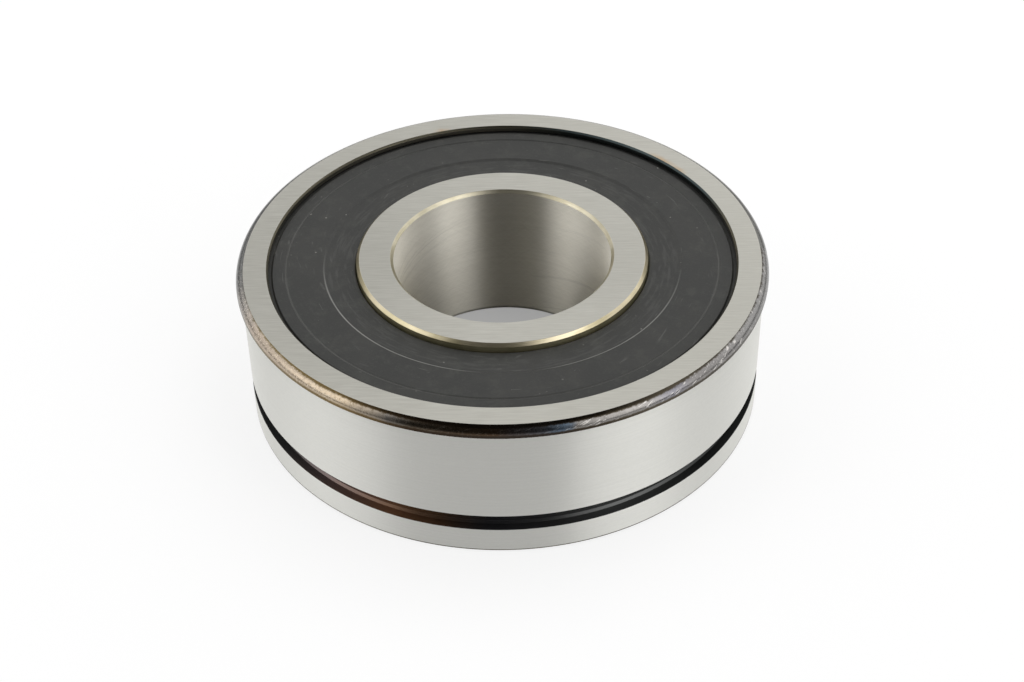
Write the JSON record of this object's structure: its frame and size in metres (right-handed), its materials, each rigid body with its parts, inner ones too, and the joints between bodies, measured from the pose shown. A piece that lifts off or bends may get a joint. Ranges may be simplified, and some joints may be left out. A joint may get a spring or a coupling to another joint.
{
  "type": "gearbox bearing",
  "caption": "Sealed deep-groove ball bearing for a gearbox shaft, with a rimmed outer ring, a snap-ring groove and a riveted ribbon cage.",
  "frame": {"origin": "centre of the lower face, on the bearing's axis", "axes": "+Z along the bearing's axis, from the face beside the snap-ring groove to the face with the rim"},
  "size_m": [0.061, 0.061, 0.018],
  "materials": {
    "outer_ring_steel": "fine-ground satin steel, dark heat scale on the unground rim and in the groove",
    "inner_ring_steel": "fine-ground satin steel with straw-coloured temper on the chamfers",
    "seal_rubber": "matte moulded rubber with fine scuffs",
    "ball_steel": "mirror-lapped steel",
    "cage_steel": "pressed sheet steel, dull",
    "rivet_steel": "cold-headed steel"
  },
  "bodies": {
    "outer": {"outer_ring": "outer_ring_steel", "upper_seal": "seal_rubber", "lower_seal": "seal_rubber"},
    "inner": {"inner_ring": "inner_ring_steel"},
    "cage": {"upper_cage_half": "cage_steel", "lower_cage_half": "cage_steel", "cage_rivet_1": "rivet_steel", "cage_rivet_2": "rivet_steel", "cage_rivet_3": "rivet_steel", "cage_rivet_4": "rivet_steel", "cage_rivet_5": "rivet_steel", "cage_rivet_6": "rivet_steel", "cage_rivet_7": "rivet_steel"},
    "ball_1": {"ball_1": "ball_steel"},
    "ball_2": {"ball_2": "ball_steel"},
    "ball_3": {"ball_3": "ball_steel"},
    "ball_4": {"ball_4": "ball_steel"},
    "ball_5": {"ball_5": "ball_steel"},
    "ball_6": {"ball_6": "ball_steel"},
    "ball_7": {"ball_7": "ball_steel"}
  },
  "joints": [
    {"name": "inner_spin", "type": "hinge", "parent": "outer", "child": "inner", "pos_m": [0, 0, 0.009], "axis": [0, 0, 1], "continuous": true},
    {"name": "cage_spin", "type": "hinge", "parent": "outer", "child": "cage", "pos_m": [0, 0, 0.009], "axis": [0, 0, 1], "continuous": true},
    {"name": "ball_1_spin", "type": "hinge", "parent": "cage", "child": "ball_1", "pos_m": [0, 0.0214, 0.009], "axis": [0, 0, 1], "continuous": true},
    {"name": "ball_2_spin", "type": "hinge", "parent": "cage", "child": "ball_2", "pos_m": [-0.01673, 0.01334, 0.009], "axis": [0, 0, 1], "continuous": true},
    {"name": "ball_3_spin", "type": "hinge", "parent": "cage", "child": "ball_3", "pos_m": [-0.02086, -0.00476, 0.009], "axis": [0, 0, 1], "continuous": true},
    {"name": "ball_4_spin", "type": "hinge", "parent": "cage", "child": "ball_4", "pos_m": [-0.00929, -0.01928, 0.009], "axis": [0, 0, 1], "continuous": true},
    {"name": "ball_5_spin", "type": "hinge", "parent": "cage", "child": "ball_5", "pos_m": [0.00929, -0.01928, 0.009], "axis": [0, 0, 1], "continuous": true},
    {"name": "ball_6_spin", "type": "hinge", "parent": "cage", "child": "ball_6", "pos_m": [0.02086, -0.00476, 0.009], "axis": [0, 0, 1], "continuous": true},
    {"name": "ball_7_spin", "type": "hinge", "parent": "cage", "child": "ball_7", "pos_m": [0.01673, 0.01334, 0.009], "axis": [0, 0, 1], "continuous": true}
  ],
  "couplings": [
    {"joint": "cage_spin", "follows": "inner_spin", "ratio": 0.37019},
    {"joint": "ball_1_spin", "follows": "inner_spin", "ratio": -1.796},
    {"joint": "ball_2_spin", "follows": "inner_spin", "ratio": -1.796},
    {"joint": "ball_3_spin", "follows": "inner_spin", "ratio": -1.796},
    {"joint": "ball_4_spin", "follows": "inner_spin", "ratio": -1.796},
    {"joint": "ball_5_spin", "follows": "inner_spin", "ratio": -1.796},
    {"joint": "ball_6_spin", "follows": "inner_spin", "ratio": -1.796},
    {"joint": "ball_7_spin", "follows": "inner_spin", "ratio": -1.796}
  ]
}
